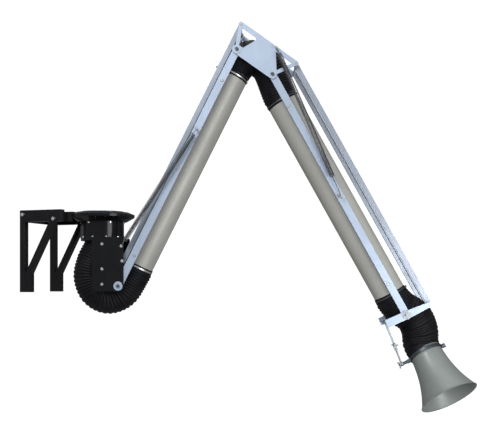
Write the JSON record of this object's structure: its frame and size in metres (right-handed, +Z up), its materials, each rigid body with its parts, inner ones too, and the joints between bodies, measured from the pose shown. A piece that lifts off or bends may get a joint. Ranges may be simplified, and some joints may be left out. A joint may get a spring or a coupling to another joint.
{
  "type": "fume extraction arm",
  "caption": "Wall-mounted, spring-balanced articulated duct arm with a swivel console, parallelogram linkages and a tilting flared hood for drawing off fumes.",
  "frame": {"origin": "on the swivel axis, level with the top of the duct flange", "axes": "+X away from the wall, +Z up"},
  "size_m": [2.1548, 0.833, 1.9173],
  "materials": {
    "black_paint": "gloss black powder coat",
    "zinc": "zinc plated",
    "galvanised": "bright galvanised sheet",
    "duct_paint": "warm grey, semi-matt",
    "hose_rubber": "matt black, ribbed",
    "bearing_plastic": "natural acetal",
    "friction": "brown friction lining",
    "dark_steel": "oiled spring steel",
    "hood_metal": "spun, satin grey",
    "knob_plastic": "black"
  },
  "bodies": {
    "wall_bracket": {"wall_frame_left": "black_paint", "wall_frame_right": "black_paint", "rail_end_caps": "knob_plastic", "console": "black_paint", "console_bolts": "zinc", "duct_flange": "galvanised", "bearing_housing": "black_paint", "thrust_ring": "bearing_plastic", "slide_ring": "bearing_plastic"},
    "swivel": {"retaining_ring": "zinc", "swivel_drum": "black_paint", "drum_screws": "zinc", "turntable_plate": "black_paint", "hanger_bars": "black_paint", "side_plate_left": "black_paint", "side_plate_right": "black_paint", "side_plate_screws": "zinc", "base_pivot_bolts": "dark_steel", "base_pivot_washers": "zinc", "base_rod_bolts": "zinc", "base_hose": "hose_rubber"},
    "lower_arm": {"lower_duct": "duct_paint", "lower_channel_left": "galvanised", "lower_channel_right": "galvanised", "lower_spacers": "zinc", "lower_hose_cuffs": "hose_rubber", "lower_hose_clamps": "zinc", "lower_friction_discs": "friction"},
    "lower_rods": {"lower_rod_left": "galvanised", "lower_rod_right": "galvanised"},
    "lower_springs": {"lower_springs": "dark_steel"},
    "lower_spring_hooks": {"lower_spring_hooks": "dark_steel"},
    "knee": {"knee_plate_left": "galvanised", "knee_plate_right": "galvanised", "knee_ties": "zinc", "knee_pivot_bolts": "dark_steel", "knee_pivot_washers": "zinc", "knee_hose": "hose_rubber"},
    "upper_arm": {"upper_duct": "duct_paint", "upper_channel_left": "galvanised", "upper_channel_right": "galvanised", "upper_spacers": "zinc", "upper_hose_cuffs": "hose_rubber", "upper_hose_clamps": "zinc", "upper_friction_discs": "friction"},
    "upper_rods": {"upper_rod_left": "galvanised", "upper_rod_right": "galvanised"},
    "upper_springs": {"upper_springs": "dark_steel"},
    "upper_spring_hooks": {"upper_spring_hooks": "dark_steel"},
    "yoke": {"end_yoke": "galvanised", "end_pivot_bolts": "zinc", "end_rod_bolts": "zinc", "end_hose": "hose_rubber"},
    "link_upper": {"hood_link_upper": "zinc"},
    "link_lower": {"hood_link_lower": "zinc"},
    "pitch_nut": {"pitch_wing_nut": "zinc"},
    "roll_nut": {"roll_wing_nut": "zinc"},
    "hood": {"hood_collar": "dark_steel", "hood_shell": "hood_metal"},
    "damper": {"damper": "dark_steel"}
  },
  "joints": [
    {"name": "swing", "type": "hinge", "parent": "wall_bracket", "child": "swivel", "pos_m": [0, 0, -0.03], "axis": [0, 0, 1], "range_deg": [-110, 70]},
    {"name": "lift", "type": "hinge", "parent": "swivel", "child": "lower_arm", "pos_m": [0.08927, 0.03249, -0.371], "axis": [0.342, -0.9397, 0], "range_deg": [-36, 4]},
    {"name": "lower_rod_turn", "type": "hinge", "parent": "swivel", "child": "lower_rods", "pos_m": [0.1085, 0.03949, -0.2487], "axis": [0.342, -0.9397, 0], "range_deg": [-36, 4]},
    {"name": "knee_turn", "type": "hinge", "parent": "lower_arm", "child": "knee", "pos_m": [0.63247, 0.2302, 0.78335], "axis": [0.342, -0.9397, 0], "range_deg": [-4, 36]},
    {"name": "lower_spring_turn", "type": "hinge", "parent": "swivel", "child": "lower_springs", "pos_m": [0.10619, 0.03865, -0.177], "axis": [0.342, -0.9397, 0], "range_deg": [-42.85, 4.77]},
    {"name": "lower_hook_turn", "type": "hinge", "parent": "lower_arm", "child": "lower_spring_hooks", "pos_m": [0.44944, 0.16358, 0.3944], "axis": [0.342, -0.9397, 0], "range_deg": [-6.85, 0.77]},
    {"name": "elbow", "type": "hinge", "parent": "knee", "child": "upper_arm", "pos_m": [0.79584, 0.28966, 0.66117], "axis": [0.342, -0.9397, 0], "range_deg": [-18, 45]},
    {"name": "upper_rod_turn", "type": "hinge", "parent": "knee", "child": "upper_rods", "pos_m": [0.90409, 0.32906, 0.71342], "axis": [0.342, -0.9397, 0], "range_deg": [-18, 45]},
    {"name": "yoke_turn", "type": "hinge", "parent": "upper_arm", "child": "yoke", "pos_m": [1.41056, 0.5134, -0.51174], "axis": [0.342, -0.9397, 0], "range_deg": [-45, 18]},
    {"name": "upper_spring_turn", "type": "hinge", "parent": "knee", "child": "upper_springs", "pos_m": [0.81275, 0.29582, 0.78717], "axis": [0.342, -0.9397, 0], "range_deg": [-15.96, 39.88]},
    {"name": "upper_hook_turn", "type": "hinge", "parent": "upper_arm", "child": "upper_spring_hooks", "pos_m": [1.10984, 0.40395, 0.06205], "axis": [0.342, -0.9397, 0], "range_deg": [-5.14, 2.06]},
    {"name": "link_swing", "type": "hinge", "parent": "yoke", "child": "link_upper", "pos_m": [1.32669, 0.48288, -0.55222], "axis": [0.342, -0.9397, 0], "range_deg": [-12, 12]},
    {"name": "hood_pitch", "type": "hinge", "parent": "link_upper", "child": "link_lower", "pos_m": [1.37086, 0.49895, -0.66522], "axis": [0.342, -0.9397, 0], "range_deg": [-28, 17]},
    {"name": "pitch_nut_turn", "type": "hinge", "parent": "link_upper", "child": "pitch_nut", "pos_m": [1.37086, 0.49895, -0.66522], "axis": [0.342, -0.9397, 0], "continuous": true},
    {"name": "hood_roll", "type": "hinge", "parent": "link_lower", "child": "hood", "pos_m": [1.40563, 0.51161, -0.76223], "axis": [0.8585, 0.3125, 0.4067], "range_deg": [-17, 68]},
    {"name": "roll_nut_turn", "type": "hinge", "parent": "link_lower", "child": "roll_nut", "pos_m": [1.40563, 0.51161, -0.76223], "axis": [0.8585, 0.3125, 0.4067], "continuous": true},
    {"name": "damper_turn", "type": "hinge", "parent": "hood", "child": "damper", "pos_m": [1.5198, 0.55316, -0.70813], "axis": [0.8585, 0.3125, 0.4067], "range_deg": [-62, 28]}
  ],
  "couplings": [
    {"joint": "lower_rod_turn", "follows": "lift", "ratio": 1},
    {"joint": "knee_turn", "follows": "lift", "ratio": -1},
    {"joint": "lower_spring_turn", "follows": "lift", "ratio": 1.19},
    {"joint": "lower_hook_turn", "follows": "lift", "ratio": 0.19},
    {"joint": "upper_rod_turn", "follows": "elbow", "ratio": 1},
    {"joint": "yoke_turn", "follows": "elbow", "ratio": -1},
    {"joint": "upper_spring_turn", "follows": "elbow", "ratio": 0.886},
    {"joint": "upper_hook_turn", "follows": "elbow", "ratio": -0.114}
  ]
}
